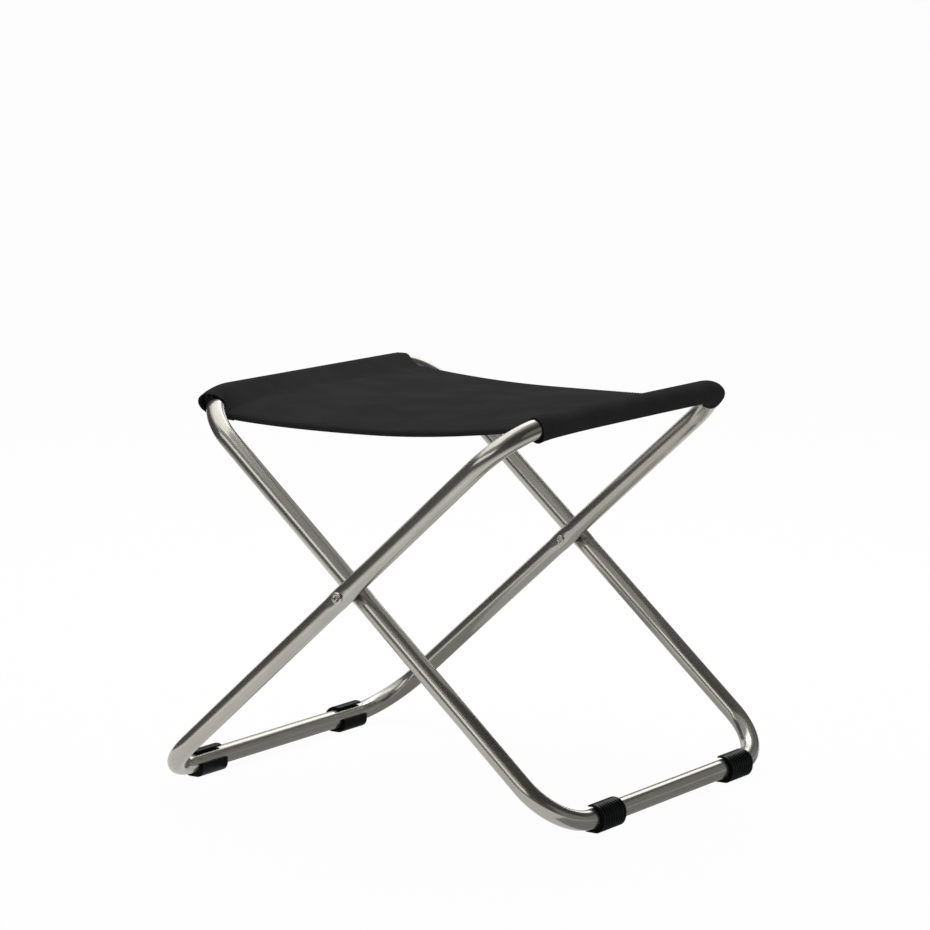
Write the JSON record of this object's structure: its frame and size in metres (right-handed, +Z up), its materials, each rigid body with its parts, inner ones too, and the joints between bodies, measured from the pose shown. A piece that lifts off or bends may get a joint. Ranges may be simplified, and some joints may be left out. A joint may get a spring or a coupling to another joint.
{
  "type": "camp stool",
  "caption": "Folding camp stool: crossed loops of steel tube pivot on rivets and carry a dark cloth sling seat; ribbed clip feet grip the bottom bars.",
  "frame": {"origin": "on the floor under the middle of the stool", "axes": "+Z up, Y along the seat bars and the bottom bars, X from the feet of frame a to the feet of frame b"},
  "size_m": [0.5048, 0.4634, 0.4177],
  "materials": {
    "stainless_tube": "satin",
    "rivet_steel": "plain",
    "spacer_nylon": "matte",
    "foot_rubber": "moulded",
    "seat_cloth": "woven"
  },
  "bodies": {
    "frame_a": {"frame_a_tube": "stainless_tube", "frame_a_spigot": "stainless_tube", "foot_a_near": "foot_rubber", "foot_a_far": "foot_rubber", "sleeve_a": "seat_cloth", "pivot_rivet_near": "rivet_steel", "pivot_spacer_near": "spacer_nylon", "seat_panel": "seat_cloth"},
    "frame_b": {"frame_b_tube": "stainless_tube", "frame_b_spigot": "stainless_tube", "foot_b_near": "foot_rubber", "foot_b_far": "foot_rubber", "sleeve_b": "seat_cloth", "pivot_rivet_far": "rivet_steel", "pivot_spacer_far": "spacer_nylon"}
  },
  "joints": [
    {"name": "fold", "type": "hinge", "parent": "frame_a", "child": "frame_b", "pos_m": [0, 0, 0.22629], "axis": [0, 1, 0], "range_deg": [0, 89], "deforming": ["seat_panel"]}
  ]
}
